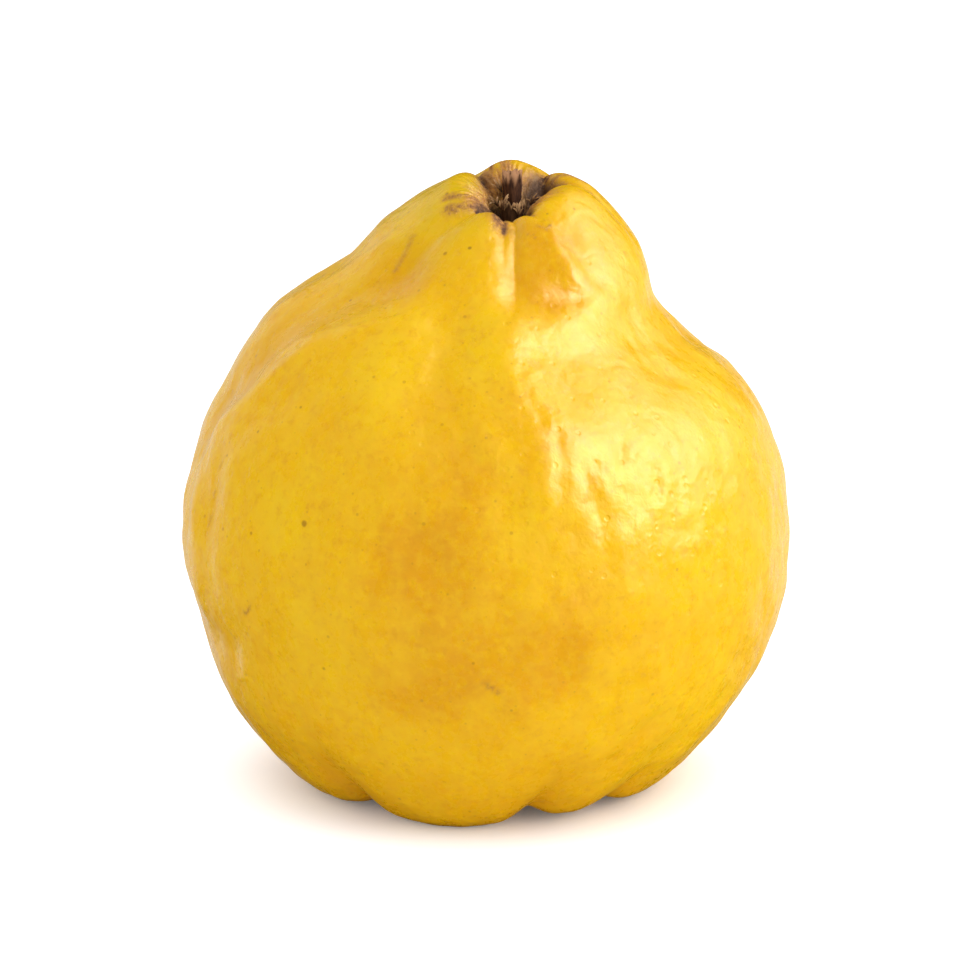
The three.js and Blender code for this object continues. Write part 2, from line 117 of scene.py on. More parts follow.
# ridges (+) and furrows (-) of the body: path of (azimuth, row), half width, height
SEAMS = (
    (((-140, 12.4), (-150, 11.9), (-157, 11.2), (-161, 10.5), (-168, 9.4)), 5.5, -1.3),
    (((-118, 11.6), (-130, 11.35), (-139, 11.0), (-147, 10.55), (-155, 10.0), (-163, 9.5)), 4.5, 0.35),
    (((-122, 11.5), (-136, 11.1), (-144, 10.7), (-152, 10.2), (-163, 9.5), (-170, 9.0)), 1.5, 0.25),
    (((-146, 11.0), (-157, 10.5), (-166, 10.1)), 1.1, 0.15),
    (((-100, 11.6), (-97, 10.9), (-98, 9.7)), 5.0, -0.9),
    (((-117, 11.3), (-114, 10.5)), 6.0, 0.35),
    (((-83, 11.4), (-78, 10.7), (-77, 10.1), (-78, 9.2)), 4.5, 0.8),
    (((-68, 9.0), (-64, 8.0)), 4.5, 0.4),
    (((-102, 8.4),), 5.0, -0.6),
    (((-78, 7.35),), 5.0, -0.5),
    (((-101, 6.9),), 6.0, -0.35),
    (((-61, 7.6),), 3.5, -0.3),
    (((-56, 6.8), (-62, 6.4), (-66, 6.0)), 3.0, 0.35),
    (((-54, 6.3), (-61, 5.9)), 2.5, -0.35),
    (((-30, 6.2), (-38, 5.7)), 3.0, 0.3),
    (((-83, 12.15), (-71, 12.05), (-60, 12.1), (-50, 12.3)), 2.2, -0.6),
    (((-74, 12.6),), 4.5, -0.7),
    (((-66, 13.7), (-60, 13.0), (-56, 12.4), (-49, 12.1)), 1.8, 0.5),
    (((-57, 13.7), (-51, 13.1), (-46, 12.4)), 2.4, -0.4),
    (((-80, 11.5), (-60, 11.5)), 4.0, 0.4),
    (((-31, 11.8), (-32, 10.9), (-34, 10.5)), 2.0, -0.3),
    (((-22, 10.7), (10, 10.5)), 3.0, -0.5),
    (((-171, 9.9),), 3.0, -0.5),
    (((-155, 9.3), (-152, 8.7), (-151, 8.2)), 2.2, -0.35),
    (((-163, 8.9), (-158, 8.3), (-157, 7.8), (-160, 7.1)), 2.2, 0.3),
    (((-172, 7.3), (-150, 7.0)), 3.5, -0.6),
    (((60, 11.6), (64, 10.2), (62, 9.0)), 5.0, -1.0),
    (((92, 11.4), (96, 9.6)), 5.0, 0.8),
    (((125, 11.5), (130, 10.2), (134, 9.2)), 5.0, -1.1),
    (((30, 9.6), (38, 8.4)), 6.0, 0.5),
    (((155, 8.2),), 7.0, -0.6),
    (((85, 7.8),), 7.0, -0.6),
)
# small dents in the skin: path of (azimuth, row), half width, height
DENTS = (
    (((-62, 9.8), (-63.5, 9.35)), 0.9, -0.26), (((-56, 9.35), (-56.5, 8.9)), 0.8, -0.22),
    (((-75.5, 10.0), (-75.5, 9.5)), 0.9, -0.24), (((-76.5, 9.35), (-76, 9.1)), 1.2, -0.28),
    (((-69, 9.5), (-66, 9.25)), 0.8, -0.22), (((-77, 10.4), (-77.5, 10.1)), 0.7, -0.2),
    (((-66, 9.1), (-62.5, 9.05)), 0.7, -0.2), (((-51, 9.1), (-51.5, 8.8)), 0.6, -0.18),
    (((-51, 9.65), (-51, 9.5)), 0.8, -0.2), (((-47, 9.4), (-47, 9.25)), 0.9, -0.2),
    (((-36, 11.1), (-38.5, 10.7)), 0.8, -0.18), (((-76.5, 10.8), (-77.5, 10.5)), 0.9, -0.22),
    (((-69.5, 9.0), (-69, 8.7), (-67.5, 8.3)), 1.4, -0.22), (((-71, 9.5), (-71, 9.2)), 0.6, -0.18),
    (((-52.5, 10.4), (-55.5, 10.1)), 1.0, -0.16), (((-43.5, 10.2), (-47, 9.8)), 1.0, -0.16),
    (((-88, 8.0), (-87.5, 7.55)), 1.0, -0.14), (((-114.5, 8.7), (-113.5, 8.5)), 0.7, -0.14),
    (((-121, 8.65), (-120, 8.4)), 0.8, -0.14), (((-72.5, 8.1), (-71.5, 8.0)), 0.7, 0.16),
    (((-75, 7.95), (-74, 7.85)), 0.7, 0.16), (((-67.5, 7.9), (-66.5, 7.85)), 0.7, 0.14),
)

# uneven skin: breadth of the swellings in mm and their height; the lengthwise ones are GRAIN times as long
SKIN_WAVES = ((14.0, 0.33), (6.0, 0.165), (3.6, 0.11))
LENGTHWISE_WAVES = ((4.6, 0.16), (2.6, 0.06))
GRAIN = 1.6
LENGTHWISE_FADE = 1.5  # the lengthwise ones fade by this power of the fruit's breadth
PLEATS = 0.35  # height of the fine pleats that run down into the pit
# where they set in, are full, fade and end
PLEATED_ROWS = (ROW["brow"] + 0.6, ROW["pit_lip"] - 0.2, ROW["pit_lip"], ROW["pit_wall"])
RADIAL = 13  # streaks and pleats round the pit: the width of each is one part in this many of a radius
STREAK_CHANGE = 1.3  # how fast they change from row to row
MERIDIAN_STEPS = 400  # steps in which the length of a meridian is measured

NOISE_DIRECTIONS = 4096  # a power of two
NOISE_REACH = 1.6  # length of each, which brings the noise to about -1 to 1
NOISE_PRIMES = (73856093, 19349663, 83492791)
SEEDS = {
    "russet": 11, "pleats": 17, "bark": 31, "splinters": 32, "bark_lumps": 33, "collar": 34, "collar_rim": 35,
    "torn_stub": 36, "stamens": 41, "scraps": 50, "sepals": 60,
}


def ring_value(column, row):
    """A column of the rings at any row between them: a Catmull-Rom curve through all of them."""
    values = RING_TABLE[:, column]
    start = np.clip(np.floor(row).astype(int), 0, LAST_ROW - 1)
    before, here = values[np.maximum(start - 1, 0)], values[start]
    after, later = values[start + 1], values[np.minimum(start + 2, LAST_ROW)]
    u = row - start
    cubic = 3 * (here - after) + later - before
    square = 2 * before - 5 * here + 4 * after - later
    return here + 0.5 * u * (after - before + u * (square + u * cubic))


def base_skin(azimuth, row):
    """Points on the smooth fruit: an ellipse at each row, turned about X by its lean."""
    lean = np.radians(ring_value(LEAN, row))
    depth = ring_value(HALF_DEPTH, row) * np.sin(azimuth)
    x = ring_value(CENTRE_X, row) + ring_value(HALF_WIDTH, row) * np.cos(azimuth)
    y = ring_value(CENTRE_Y, row) + depth * np.cos(lean)
    return np.stack([x, y, ring_value(HEIGHT, row) + depth * np.sin(lean)], axis=-1)


def base_normal(azimuth, row, step=1e-3):
    """Outward directions: the cross product of the slope round the fruit and the slope along the meridian."""
    around = base_skin(azimuth + step, row) - base_skin(azimuth - step, row)
    above, below = np.minimum(row + step, LAST_ROW), np.maximum(row - step, 0)
    normal = np.cross(around, base_skin(azimuth, above) - base_skin(azimuth, below))
    return normal / np.maximum(np.linalg.norm(normal, axis=-1, keepdims=True), TINY)


def ramp(values, low, high):
    """0 up to low, 1 from high on, and the smooth step 3u^2 - 2u^3 between."""
    u = np.clip((values - low) / (high - low), 0, 1)
    return u * u * (3 - 2 * u)


def window(row, start, full, fade, end):
    """1 between full and fade, 0 outside start..end, smooth steps between."""
    return ramp(row, start, full) * (1 - ramp(row, fade, end))


def crumple(azimuth, row, creases, softness):
    """How far the folds lift the skin, and how deep the creases between them cut.

    The lift passes evenly from the middle of one fold to the middle of the next. A crease cuts by
    depth * exp(-distance / half width), with its floor rounded by the softness.
    """
    degrees = np.degrees(azimuth)
    radius = np.maximum(ring_value(HALF_WIDTH, row), LEAST_RADIUS)
    starts = np.array([path[-1][1] for _, path in creases])
    middles = starts + ((np.roll(starts, -1) - starts) % 360) / 2
    lift = np.interp(degrees, middles, [swell for swell, _ in creases], period=360)
    cut = np.zeros_like(row)
    for _, path in creases:
        rows, lines, depths, half_widths = np.array(path).T
        turn = (degrees - np.interp(row, rows, lines)) % 360
        gap = np.radians(np.minimum(turn, 360 - turn)) * radius
        half_width = np.interp(row, rows, half_widths)
        cut += np.interp(row, rows, depths) * np.exp((softness - np.hypot(gap, softness)) / half_width)
    return lift, cut


def line_distance(points, line):
    """Distance from each point to a line of points in space."""
    line = line if len(line) > 1 else np.repeat(line, 2, axis=0)
    nearest = np.full(points.shape[:-1], np.inf)
    for start, end in zip(line[:-1], line[1:]):
        leg = end - start
        along = np.clip((points - start) @ leg / max(leg @ leg, TINY), 0, 1)
        nearest = np.minimum(nearest, np.linalg.norm(points - start - along[..., None] * leg, axis=-1))
    return nearest


def path_points(path):
    """Points on the smooth fruit at each (azimuth, row) of a path."""
    azimuth, row = np.array(path, float).T
    return base_skin(np.radians(azimuth), row)


def near_path(points, path, half_width):
    """1 on the path, falling off on both sides by exp(-(distance / half width) ** 2)."""
    return np.exp(-(line_distance(points, path_points(path)) / half_width) ** 2)


def seam_height(points, seams):
    """Sum of ridges and furrows, each with its full height on its path."""
    return sum(height * near_path(points, path, half_width) for path, half_width, height in seams)


def grain_place(azimuth, row):
    """Where a point lies along the grain: round a cylinder by its azimuth, up it by its meridian's length."""
    around = RINGS["belly"][HALF_WIDTH]
    steps = np.linspace(0, LAST_ROW, MERIDIAN_STEPS)
    front = base_skin(np.full_like(steps, -np.pi / 2), steps)
    length = np.append(0, np.cumsum(np.linalg.norm(np.diff(front, axis=0), axis=-1)))
    up = np.interp(row, steps, length) / GRAIN
    return np.stack([around * np.cos(azimuth), around * np.sin(azimuth), up], axis=-1)


def gradient_noise(points, size, seed):
    """Smooth noise of about -1 to 1 with features of this size.

    Each corner of a cubic lattice has a random direction. A point's value blends the products of those
    directions with its offsets from the eight corners round it, by 6u^5 - 15u^4 + 10u^3 along each axis.
    """
    directions = np.random.default_rng(seed).normal(size=(NOISE_DIRECTIONS, 3))
    directions *= NOISE_REACH / np.linalg.norm(directions, axis=1, keepdims=True)
    cell = points / size
    low = np.floor(cell).astype(np.int64)
    part = cell - low
    blend = part ** 3 * (part * (part * 6 - 15) + 10)
    total = np.zeros(points.shape[:-1])
    for corner in np.ndindex(2, 2, 2):
        x, y, z = np.moveaxis((low + corner) * NOISE_PRIMES, -1, 0)
        pick = (x ^ y ^ z) & (NOISE_DIRECTIONS - 1)
        weight = np.prod(np.where(corner, blend, 1 - blend), axis=-1)
        total += weight * np.einsum("...k,...k", directions[pick], part - corner)
    return total


def radial_streaks(azimuth, row, seed):
    """Noise that runs in streaks from the pit outwards: quick to change round the fruit, slow along it."""
    place = [np.cos(azimuth) * RADIAL, np.sin(azimuth) * RADIAL, row * STREAK_CHANGE]
    return gradient_noise(np.stack(place, axis=-1), 1.0, seed)


def uneven_skin(azimuth, row, points):
    """How far dents, swellings of noise and pleats move the skin; they fade out towards the poles."""
    waves = seam_height(points, DENTS)
    slender = (ring_value(HALF_WIDTH, row) / RINGS["belly"][HALF_WIDTH]) ** LENGTHWISE_FADE
    for place, sizes, share in (
        (points, SKIN_WAVES, 1),
        (grain_place(azimuth, row), LENGTHWISE_WAVES, slender),
    ):
        for size, height in sizes:
            waves = waves + share * height * gradient_noise(place, size, int(size * 10))
    waves *= window(row, ROW["eye_floor"], ROW["foot"], ROW["brow"], ROW["pit_floor"])
    return waves + PLEATS * radial_streaks(azimuth, row, SEEDS["pleats"]) * window(row, *PLEATED_ROWS)


def skin(azimuth, row):
    """Points on the fruit's skin, and how far the creases and furrows sink there.

    The smooth fruit, moved along its own normal by the folds, the lobes, the seams and its unevenness. What
    would dip under the floor is pressed flat.
    """
    azimuth, row = np.broadcast_arrays(np.asarray(azimuth, float), np.asarray(row, float))
    points = base_skin(azimuth, row)
    near_pit = window(row, ROW["slope"], ROW["neck"], ROW["pit_lip"], ROW["pit_wall"])
    near_eye = window(row, ROW["eye_wall"], ROW["foot"], ROW["outer_foot"], ROW["flank"])
    pit_lift, pit_cut = crumple(azimuth, row, PIT_CREASES, PIT_SOFTNESS)
    eye_lift, eye_cut = crumple(azimuth, row, EYE_CREASES, EYE_SOFTNESS)
    seams = seam_height(points, SEAMS)
    folds = (pit_lift - pit_cut) * near_pit + (eye_lift - eye_cut) * near_eye
    move = folds + seams + uneven_skin(azimuth, row, points)
    points = points + base_normal(azimuth, row) * move[..., None]
    points[..., 2] = np.maximum(points[..., 2], 0)
    return points, pit_cut * near_pit, eye_cut * near_eye, seams


# ---------------- meshes


def closed_faces(rows, columns):
    """Faces of a closed grid, whose two poles come after the vertices of its body.

    The rows between the poles become rings of quads, and the two ends fans of triangles.
    """
    body = (rows - 2) * columns
    here = np.arange(columns)
    beside = (here + 1) % columns
    ring = (np.arange(rows - 3) * columns)[:, None]
    sides = (ring + here, ring + beside, ring + columns + beside, ring + columns + here)
    quads = np.stack(np.broadcast_arrays(*sides), axis=-1).reshape(-1, 4)
    last = body - columns
    fans = np.concatenate([
        np.stack([np.full(columns, body), beside, here], axis=-1),
        np.stack([np.full(columns, body + 1), last + here, last + beside], axis=-1),
    ])
    return quads, fans


def faces_inwards(vertices, quads):
    """Whether the signed volume under the quads is negative."""
    a, b, c = (vertices[quads[:, corner]] for corner in range(3))
    return np.einsum("ij,ij", a - vertices.mean(0), np.cross(b - a, c - a)) < 0


def closed_mesh(name, grids, material, attributes):
    """One piece from closed grids in mm, (grids, rows, columns, 3), whose two end rows are single points."""
    grids = grids.reshape(-1, *grids.shape[-3:])
    count, rows, columns = grids.shape[:3]
    body = (rows - 2) * columns
    size = body + 2

    def flatten(values):
        """A value for each vertex of each grid: its body, then its two poles."""
        values = values.reshape(count, rows, columns, -1)
        parts = [values[:, 1:-1].reshape(count, body, -1), values[:, :1, 0], values[:, -1:, 0]]
        return np.concatenate(parts, axis=1).reshape(count * size, -1)

    vertices = flatten(grids)
    quads, fans = closed_faces(rows, columns)
    if faces_inwards(vertices[:size], quads):
        quads, fans = quads[:, ::-1], fans[:, ::-1]
    starts = (np.arange(count) * size)[:, None, None]
    corners = np.concatenate([(quads + starts).ravel(), (fans + starts).ravel()])
    totals = np.repeat([4, 3], [len(quads) * count, len(fans) * count])
    mesh = bpy.data.meshes.new(name)
    mesh.vertices.add(len(vertices))
    mesh.vertices.foreach_set("co", (vertices * MM).ravel())
    mesh.loops.add(len(corners))
    mesh.loops.foreach_set("vertex_index", corners)
    mesh.polygons.add(len(totals))
    mesh.polygons.foreach_set("loop_start", np.concatenate([[0], np.cumsum(totals)[:-1]]))
    mesh.polygons.foreach_set("loop_total", totals)
    mesh.polygons.foreach_set("use_smooth", np.ones(len(totals), bool))
    mesh.update(calc_edges=True)
    mesh.validate()
    for key, values in attributes.items():
        flat = flatten(values).astype(np.float32)
        kind, slot = ("FLOAT_VECTOR", "vector") if flat.shape[1] == 3 else ("FLOAT", "value")
        mesh.attributes.new(key, kind, "POINT").data.foreach_set(slot, flat.ravel())
    mesh.materials.append(material)
    piece = bpy.data.objects.new(name, mesh)
    bpy.context.collection.objects.link(piece)
    return piece


# ---------------- materials


class Nodes:
    """A node tree, with short calls to add and join its nodes."""

    def __init__(self, owner):
        owner.use_nodes = True
        self.tree = owner.node_tree

    def add(self, kind, inputs=None, **settings):
        node = self.tree.nodes.new(kind)
        for key, value in settings.items():
            setattr(node, key, value)
        for key, value in (inputs or {}).items():
            self.set(node.inputs[key], value)
        return node

    def set(self, socket, value):
        if isinstance(value, bpy.types.NodeSocket):
            self.tree.links.new(value, socket)
        else:
            socket.default_value = value

    def math(self, operation, a, b=0.0, c=0.0):
        return self.add("ShaderNodeMath", {0: a, 1: b, 2: c}, operation=operation).outputs[0]

    def step(self, value, low, high, to_low=0.0, to_high=1.0):
        """A smooth step from to_low to to_high as value goes from low to high."""
        return self.add("ShaderNodeMapRange", {
            "Value": value, "From Min": low, "From Max": high, "To Min": to_low, "To Max": to_high,
        }, interpolation_type="SMOOTHSTEP").outputs["Result"]


class Shader(Nodes):
    """A material, with short calls for the patterns and the reliefs of a finish."""

    def __init__(self, name):
        self.material = bpy.data.materials.new(name)
        super().__init__(self.material)
        self.principled = self.tree.nodes["Principled BSDF"]
        self.place = self.add("ShaderNodeTexCoord").outputs["Object"]

    def attribute(self, name, output="Fac"):
        return self.add("ShaderNodeAttribute", attribute_name=name).outputs[output]

    def noise(self, size_mm, detail=2.0, roughness=0.5, place=None, distortion=0.0):
        """Noise with features of about this size in mm."""
        return self.add("ShaderNodeTexNoise", {
            "Vector": place or self.place, "Scale": 1 / (size_mm * MM), "Detail": detail,
            "Roughness": roughness, "Distortion": distortion,
        }).outputs["Fac"]

    def spots(self, spacing_mm, radius_mm, share, soft):
        """Round dots on a random scatter, in this share of the scatter's cells."""
        cells = self.add("ShaderNodeTexVoronoi", {"Vector": self.place, "Scale": 1 / (spacing_mm * MM)})
        edge = radius_mm / spacing_mm
        dots = self.step(cells.outputs["Distance"], edge, edge * soft, 1.0, 0.0)
        pick = self.add("ShaderNodeSeparateColor", {0: cells.outputs["Color"]}).outputs[0]
        return self.math("MULTIPLY", dots, self.math("LESS_THAN", pick, share))

    def mix(self, factor, a, b):
        """Colour a, turned to b by the factor; a Mix node takes its two colours at sockets 6 and 7."""
        return self.add("ShaderNodeMix", {0: factor, 6: a, 7: b}, data_type="RGBA").outputs[2]

    def cover(self, color, pattern, tint):
        """The colour under a tint, where the pattern is and as far as the tint's own share goes."""
        tint_color, share = tint
        return self.mix(self.math("MULTIPLY", pattern, share), color, tint_color)

    def bump(self, height, distance_mm, under=None):
        inputs = {"Height": height, "Distance": distance_mm * MM, "Strength": 1.0}
        if under is not None:
            inputs["Normal"] = under
        return self.add("ShaderNodeBump", inputs).outputs["Normal"]

    def finish(self, color, roughness, normal=None, **constants):
        self.set(self.principled.inputs["Base Color"], color)
        self.set(self.principled.inputs["Roughness"], roughness)
        if normal is not None:
            self.set(self.principled.inputs["Normal"], normal)
        for key, value in constants.items():
            self.principled.inputs[key.replace("_", " ")].default_value = value
        return self.material


def rgb(red, green, blue):
    return (red, green, blue, 1.0)


# broad tints of the skin: azimuth, row, radius in mm, and how far it turns to amber (+) or to lemon (-)
# the amber tints that lie in dents, furrows and hollows are painted shade; the rest is the skin's own
# mottling
TINTS_AND_SHADE = (
    (-102, 8.4, 9, 1.2), (-78, 7.3, 9, 1.1), (-101, 6.9, 9, 0.9), (-72, 12.4, 5, 1.2), (-75, 13.6, 4, 0.9),
    (-96, 5.6, 8, 0.2), (-60, 5.4, 6, 0.3), (-128, 5.6, 8, 0.4), (-152, 10.6, 6, 0.7), (-130, 9.8, 8, 0.4),
    (-137, 12.6, 5, 0.9), (-56, 13.3, 3, 0.8), (-90, 9.3, 6, 0.6), (-160, 6.6, 10, 0.4),
    (-74, 10.0, 4, 0.6), (-140, 13.6, 8, -0.9), (-128, 8.9, 9, -0.7), (-120, 7.6, 8, -0.5),
    (-156, 11.7, 5, -1.0), (-108, 10.9, 8, -1.0), (-90, 11.3, 6, -0.8), (-110, 6.2, 7, -0.4),
    (-82, 8.6, 5, -0.5), (-48, 8.2, 9, -0.5), (-35, 9.6, 9, -0.4), (-22, 10.4, 8, -0.7),
    (-38, 6.4, 10, -0.7), (-46, 5.5, 7, -0.9), (-68, 6.7, 6, -0.6), (170, 13.8, 7, -0.8),
    (40, 8.4, 14, 0.5), (70, 10.2, 12, -0.5), (110, 7.2, 14, 0.5), (150, 9.4, 12, -0.4),
)
# the row from which the skin is russet, by azimuth
RUSSET_FROM = (
    (0, 15.6), (24, 15.2), (45, 15.0), (60, 15.3), (75, 15.7), (84, 15.5), (92, 15.1), (100, 15.0),
    (106, 15.4), (116, 15.2), (126, 15.0), (150, 15.7), (185, 15.8), (200, 15.5), (212, 15.1), (228, 14.9),
    (238, 15.3), (250, 15.4), (260, 14.6), (271, 15.5), (300, 15.5), (330, 15.1),
)
# brown lines and smears round the pit: path of (azimuth, row), half width, darkness
# where these lines follow the creases they are painted shade; elsewhere they are the skin's own russet
# streaks
RUSSET_LINES = (
    (((24, 16), (20, 15.5), (15, 14.9), (5, 14.4), (1, 14.0)), 0.5, 1.0),
    (((30, 15.4), (22, 15.1), (12, 14.9)), 1.0, 0.7),
    (((236, 16.2), (235, 15.5), (231, 14.9)), 0.55, 1.0),
    (((230, 15.5), (222, 14.7), (214, 14.1)), 1.4, 0.75),
    (((214, 15.6), (208, 14.9), (200, 14.3)), 1.0, 0.65),
    (((190, 15.8), (186, 15.3)), 0.8, 0.4),
    (((262, 16), (260, 15.3), (261, 14.6), (264, 13.9)), 0.7, 0.9),
    (((254, 15.9), (255, 15.2), (257, 14.6), (262, 14.0)), 1.6, 0.85),
    (((134, 16), (130, 15.5), (125, 14.9)), 0.8, 0.9),
    (((118, 15.8), (113, 15.1), (108, 14.6)), 0.5, 0.7),
    (((98, 15.2), (95, 14.4)), 1.2, 0.35),
    (((38, 16), (42, 15.6), (50, 15.1), (54, 14.6)), 1.1, 1.0),
    (((10, 16.2), (14, 15.8), (20, 15.4), (28, 15.2)), 0.9, 0.8),
    (((232, 16.2), (229, 15.8), (224, 15.3)), 0.9, 0.9),
    (((272, 16.3), (278, 16.0), (290, 15.9), (310, 15.9)), 0.6, 0.5),
    (((36, 15.2), (30, 14.6), (20, 14.1)), 0.9, 0.6),
    (((286, 15.9), (288, 15.2), (289, 14.6)), 0.6, 0.6),
    (((-72, 13.9), (-67, 13.75), (-63, 13.85)), 0.35, 0.5),
    (((-79, 13.75), (-74, 13.6)), 0.3, 0.4),
    (((-152, 13.3), (-148, 13.0), (-146, 12.6)), 0.6, 0.35),
    (((-151.8, 9.12), (-152.5, 9.02)), 0.35, 0.35),
    (((-152.5, 8.72), (-152.4, 8.66)), 0.3, 0.35),
    (((-152.0, 8.5), (-152.5, 8.36)), 0.4, 0.3),
    (((-140, 7.57), (-139, 7.5), (-137.5, 7.64)), 0.3, 0.5),
    (((-90.5, 7.05), (-88, 6.93)), 0.5, 0.45),
)
# azimuth, row, radius in mm and darkness of single marks on the skin
MARKS = (
    (-124.5, 8.64, 0.65, 0.65), (-150.5, 9.2, 0.3, 0.5), (-121.5, 7.07, 0.35, 0.5), (-137, 8.43, 0.35, 0.5),
    (-85.5, 6.71, 0.3, 0.4), (-92.5, 7.29, 0.3, 0.4), (-165, 14.43, 0.4, 0.6), (-111, 13.36, 0.4, 0.7),
    (-123, 13.2, 0.45, 0.6), (-152.5, 11.79, 0.35, 0.5), (-129.5, 11.79, 0.3, 0.4), (-143, 9.71, 0.35, 0.5),
    (-133.5, 10.21, 0.3, 0.5), (-61, 14.29, 0.25, 0.5), (-38.5, 14.07, 0.3, 0.5),
)
MARK_CORE = 0.4  # share of a mark's radius that is evenly dark

GOLD = rgb(0.88, 0.485, 0.001)
LEMON = rgb(0.90, 0.545, 0.0015)
AMBER = rgb(0.80, 0.375, 0.0005)
OLIVE = rgb(0.54, 0.38, 0.008)
MARK = rgb(0.30, 0.12, 0.01)
RUSSET = rgb(0.62, 0.27, 0.035)
DARK_TAN = rgb(0.30, 0.12, 0.03)
PALE_TAN = rgb(0.64, 0.34, 0.11)
BROWN = rgb(0.50, 0.20, 0.028)
DEEP_BROWN = rgb(0.085, 0.028, 0.008)
# painted shade of the pit and of its deep creases
PIT_SHADE = rgb(0.05, 0.019, 0.007)
# tints that let some of the skin through: colour and the share that they cover
PALE_FLECK = (rgb(0.94, 0.60, 0.005), 0.4)
DARK_FLECK = (rgb(0.71, 0.30, 0.003), 0.38)
# painted shade: the tint of the hollows darkens the skin in the creases and the furrows
HOLLOW_SHADE = (rgb(0.72, 0.32, 0.002), 0.5)
DOT = (rgb(0.46, 0.20, 0.006), 0.45)

# the skin's noises: size of their features in mm, detail and roughness
NOISES = {
    "clouds": (7, 4, 0.6), "pale_flecks": (1.6, 4, 0.65), "dark_flecks": (1.5, 4, 0.7), "olive": (5, 3),
    "broken": (0.8, 4, 0.7), "tan": (0.9, 3, 0.65), "satin": (4.5, 4, 0.65), "fine_satin": (1.1, 3, 0.6),
}
# dots: spacing and radius in mm, the share of the places that have one, and how soft their edge is
LARGE_DOTS = (3.2, 0.16, 0.5, 2.2)
SMALL_DOTS = (1.7, 0.11, 0.4, 2.2)
SMALL_DOT_SHARE = 0.7  # of a large dot's darkness
PORES = (2.3, 0.22, 0.6, 2.4)
# relief that is too fine for the mesh: size of the features, distortion of the noise, and height in mm
BROAD_RELIEF = (3.2, 0.6, 0.22)
FINE_RELIEF = ((1.4, 0.8, 0.068), (0.5, 0.5, 0.020))
PORE_HEIGHT = -0.06
DRY_HEIGHT = 0.25
NECK_GLOSS = -0.04  # what the neck's gloss adds to its roughness


def mottled_gold(s):
    """Gold, turned to lemon and amber by the broad tints and by clouds, with flecks, olive and painted hollow
    shade.
    """
    clouds = s.step(s.noise(*NOISES["clouds"]), 0.3, 0.7, -0.4, 0.4)
    # the tints are partly the skin's own tone and partly painted shade in dents, furrows and hollows
    warmth_and_shade = s.math("ADD", s.attribute("warmth_and_shade"), clouds)
    color = s.mix(s.step(warmth_and_shade, -1.0, 0.1, 1.0, 0.0), GOLD, LEMON)
    color = s.mix(s.step(warmth_and_shade, 0.0, 1.2), color, AMBER)
    color = s.cover(color, s.step(s.noise(*NOISES["pale_flecks"]), 0.4, 0.72), PALE_FLECK)
    color = s.cover(color, s.step(s.noise(*NOISES["dark_flecks"]), 0.5, 0.72), DARK_FLECK)
    color = s.cover(color, s.attribute("hollow_shade"), HOLLOW_SHADE)
    patches = s.step(s.noise(*NOISES["olive"]), 0.3, 0.7, 0.5, 1.0)
    return s.mix(s.math("MULTIPLY", s.attribute("olive"), patches), color, OLIVE)


def dots_and_marks(s, color):
    """The colour with its scatter of fine dots, and with single marks: balls of brown at set places."""
    small = s.math("MULTIPLY", s.spots(*SMALL_DOTS), SMALL_DOT_SHARE)
    color = s.cover(color, s.math("MAXIMUM", s.spots(*LARGE_DOTS), small), DOT)
    marks = 0.0
    for azimuth, row, radius, darkness in MARKS:
        centre = skin(np.radians(azimuth), row)[0] * MM + OFFSET
        apart = s.add("ShaderNodeVectorMath", {0: s.place, 1: tuple(centre)}, operation="DISTANCE")
        mark = s.step(apart.outputs["Value"], radius * MM * MARK_CORE, radius * MM, darkness, 0.0)
        marks = s.math("MAXIMUM", marks, mark)
    return s.mix(marks, color, MARK)


def browned(s, color, russet, smear_and_shade):
    """Colour under russet, brown lines partly painted shade, and painted pit shade; thin russet and lines are
    paler.
    """
    tan = s.mix(s.step(s.noise(*NOISES["tan"]), 0.35, 0.65), DARK_TAN, PALE_TAN)
    color = s.mix(s.step(russet, 0.0, 0.45), color, RUSSET)
    color = s.mix(s.step(russet, 0.25, 0.85), color, tan)
    color = s.mix(s.step(smear_and_shade, 0.0, 0.65), color, BROWN)
    color = s.mix(s.step(smear_and_shade, 0.3, 0.9), color, DEEP_BROWN)
    return s.mix(s.attribute("pit"), color, PIT_SHADE)


def satin_gloss(s, dryness):
    """Roughness of the skin: mottled in patches along the grain, less on the neck, more where it is dry."""
    grain = s.attribute("grain", "Vector")
    broad = s.step(s.noise(*NOISES["satin"], grain), 0.35, 0.65, 0.20, 0.32)
    fine = s.step(s.noise(*NOISES["fine_satin"]), 0.35, 0.65, 0.0, 0.09)
    satin = s.math("MULTIPLY_ADD", s.attribute("satin"), NECK_GLOSS, s.math("ADD", broad, fine))
    return s.math("MAXIMUM", satin, s.step(dryness, 0.0, 0.8, 0.2, 0.75))


def skin_relief(s, scurf):
    """Bumps one on another: broad unevenness, pores, finer unevenness, and the scurf of the dry parts."""
    size, distortion, height = BROAD_RELIEF
    normal = s.bump(s.noise(size, 1, distortion=distortion), height)
    normal = s.bump(s.spots(*PORES), PORE_HEIGHT, normal)
    for size, distortion, height in FINE_RELIEF:
        normal = s.bump(s.noise(size, 1, distortion=distortion), height, normal)
    return s.bump(scurf, DRY_HEIGHT, normal)


def skin_material():
    """Golden skin: lemon and amber tints, olive by the stalk, russet round the pit, fine dots, painted shade.
    """
    s = Shader("quince_skin")
    broken = s.step(s.noise(*NOISES["broken"]), 0.3, 0.65, 0.5, 1.15)
    russet = s.math("MULTIPLY", s.attribute("russet"), broken)
    smear_and_shade = s.math("MULTIPLY", s.attribute("smear_and_shade"), broken)
    dryness = s.math("MAXIMUM", russet, smear_and_shade)
    color = browned(s, dots_and_marks(s, mottled_gold(s)), russet, smear_and_shade)
    normal = skin_relief(s, s.math("MULTIPLY", broken, dryness))
    return s.finish(color, satin_gloss(s, dryness), normal, IOR=1.38, Subsurface_Weight=0.12,
                    Subsurface_Scale=0.002, Subsurface_Radius=(1.0, 0.45, 0.1))
